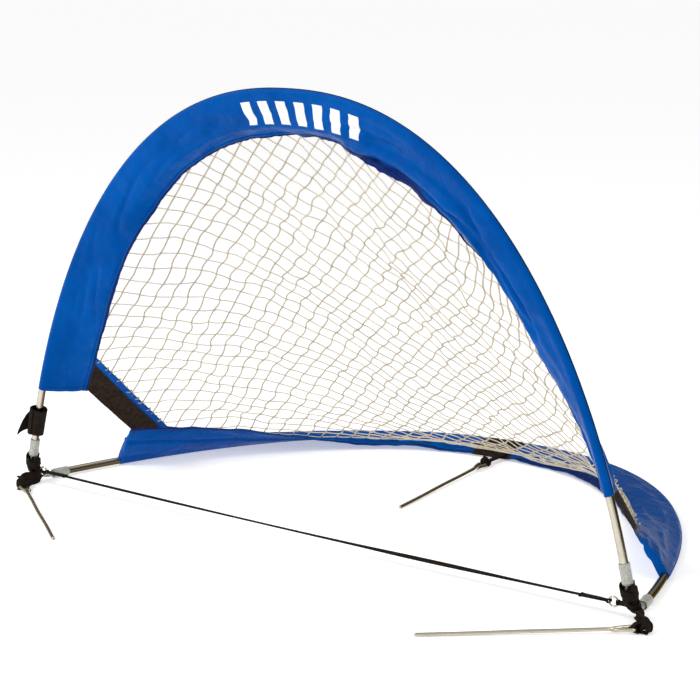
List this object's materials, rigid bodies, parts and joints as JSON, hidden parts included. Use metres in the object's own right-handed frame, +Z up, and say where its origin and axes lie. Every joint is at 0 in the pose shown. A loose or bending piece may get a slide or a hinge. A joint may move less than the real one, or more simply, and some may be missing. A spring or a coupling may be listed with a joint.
{
  "type": "pop up goal",
  "caption": "Folding lawn goal: upright and ground arches in fabric sleeves, net between them, flexible corners, mouth strap and ground pegs",
  "frame": {"origin": "centre of the footprint, at ground level", "axes": "+X across the mouth to the right-hand post seen from the front, +Y from the mouth to the back, +Z up"},
  "size_m": [1.262, 0.9676, 0.7364],
  "materials": {
    "steel": "bright galvanised tube",
    "peg_steel": "bright galvanised wire",
    "glass_fibre": "smooth",
    "clear_plastic": "translucent",
    "corner_plastic": "flexible translucent tube",
    "blue_nylon": "satin woven",
    "black_fabric": "matt woven",
    "black_webbing": "woven webbing",
    "net_cord": "knotted cord"
  },
  "bodies": {
    "ground_frame": {"ground_rod": "glass_fibre", "ground_left_tube": "steel", "ground_left_ferrule": "clear_plastic", "ground_right_tube": "steel", "ground_right_ferrule": "clear_plastic", "left_elbow": "corner_plastic", "ground_left_pocket": "blue_nylon", "ground_left_band": "blue_nylon", "left_gusset": "black_fabric", "left_gusset_binding": "blue_nylon", "left_corner_wrap": "black_webbing", "left_strap_ring": "steel", "left_ring_loop": "black_webbing", "right_elbow": "corner_plastic", "ground_right_pocket": "blue_nylon", "ground_right_band": "blue_nylon", "right_gusset": "black_fabric", "right_gusset_binding": "blue_nylon", "right_corner_wrap": "black_webbing", "right_strap_ring": "steel", "right_ring_loop": "black_webbing", "rear_patch_pocket": "black_fabric", "rear_patch_band": "black_fabric", "net": "net_cord", "mouth_strap": "black_webbing", "rear_tether": "black_webbing"},
    "upper_frame": {"upper_rod": "glass_fibre", "upper_left_tube": "steel", "upper_right_tube": "steel", "upper_left_ferrule": "clear_plastic", "upper_right_ferrule": "clear_plastic", "upper_pocket": "blue_nylon", "upper_band": "blue_nylon"},
    "left_tether": {"left_tether": "black_webbing"},
    "left_peg": {"left_peg": "peg_steel"},
    "right_tether": {"right_tether": "black_webbing"},
    "right_peg": {"right_peg": "peg_steel"},
    "rear_peg": {"rear_peg": "peg_steel"},
    "storage_strap": {"storage_strap": "black_webbing"},
    "storage_tab": {"storage_tab": "black_webbing"}
  },
  "joints": [
    {"name": "arch_fold", "type": "hinge", "parent": "ground_frame", "child": "upper_frame", "pos_m": [-0.01691, -0.24451, 0.036], "axis": [1, 0, 0], "range_deg": [-86, 0], "stiffness_Nm_per_rad": 3, "springref_deg": 17.19, "deforming": ["left_elbow", "right_elbow", "net", "left_gusset", "right_gusset", "left_gusset_binding", "right_gusset_binding", "left_corner_wrap", "right_corner_wrap", "upper_band", "ground_left_band", "ground_right_band", "rear_patch_band"]},
    {"name": "left_tether_swing", "type": "hinge", "parent": "ground_frame", "child": "left_tether", "pos_m": [-0.62247, -0.23065, 0.01647], "axis": [0.039, 0.8042, -0.5931], "range_deg": [0, 35]},
    {"name": "left_peg_tilt", "type": "hinge", "parent": "left_tether", "child": "left_peg", "pos_m": [-0.60791, -0.28251, 0.00665], "axis": [0.5807, 0.8141, 0], "range_deg": [0, 90]},
    {"name": "right_tether_swing", "type": "hinge", "parent": "ground_frame", "child": "right_tether", "pos_m": [0.58865, -0.23065, 0.01647], "axis": [-0.039, 0.8042, -0.5931], "range_deg": [-35, 0]},
    {"name": "right_peg_tilt", "type": "hinge", "parent": "right_tether", "child": "right_peg", "pos_m": [0.62009, -0.28451, 0.00665], "axis": [0.6293, -0.7771, 0], "range_deg": [0, 90]},
    {"name": "rear_peg_tilt", "type": "hinge", "parent": "ground_frame", "child": "rear_peg", "pos_m": [-0.02491, 0.32949, 0.00665], "axis": [0.9962, 0.0872, 0], "range_deg": [0, 90]},
    {"name": "storage_strap_slide", "type": "slide", "parent": "upper_frame", "child": "storage_strap", "axis": [0.2226, -0.0272, 0.9745], "range_m": [-0.004, 0.012]},
    {"name": "storage_tab_peel", "type": "hinge", "parent": "storage_strap", "child": "storage_tab", "pos_m": [-0.61841, -0.24762, 0.11965], "axis": [0.2226, -0.0272, 0.9745], "range_deg": [-60, 30]}
  ]
}
